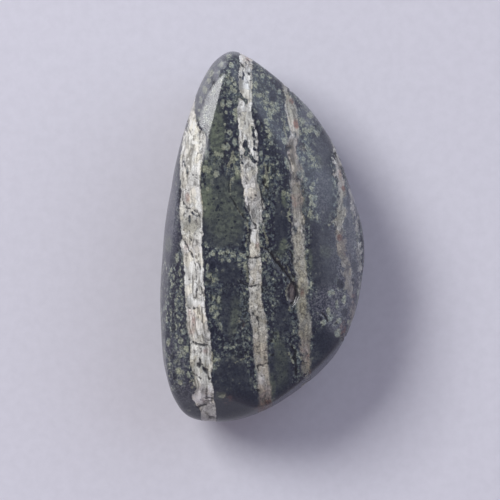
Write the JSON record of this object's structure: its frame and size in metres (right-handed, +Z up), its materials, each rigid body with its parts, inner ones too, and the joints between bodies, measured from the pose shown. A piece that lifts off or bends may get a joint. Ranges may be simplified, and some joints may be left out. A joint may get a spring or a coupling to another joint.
{
  "type": "tumbled serpentine stone",
  "caption": "Tumbled, polished pebble of dark green serpentine with pale fibrous seams along its length; rests on a small flat spot underneath.",
  "frame": {"origin": "under the middle of the bounding box, on the flat spot that the pebble rests on", "axes": "+Y along the pebble's length towards its narrow tip, +Z up from the flat spot"},
  "size_m": [0.022, 0.04, 0.014],
  "materials": {
    "serpentine": "polished"
  },
  "bodies": {
    "root": {"serpentine_stone": "serpentine"}
  },
  "joints": []
}
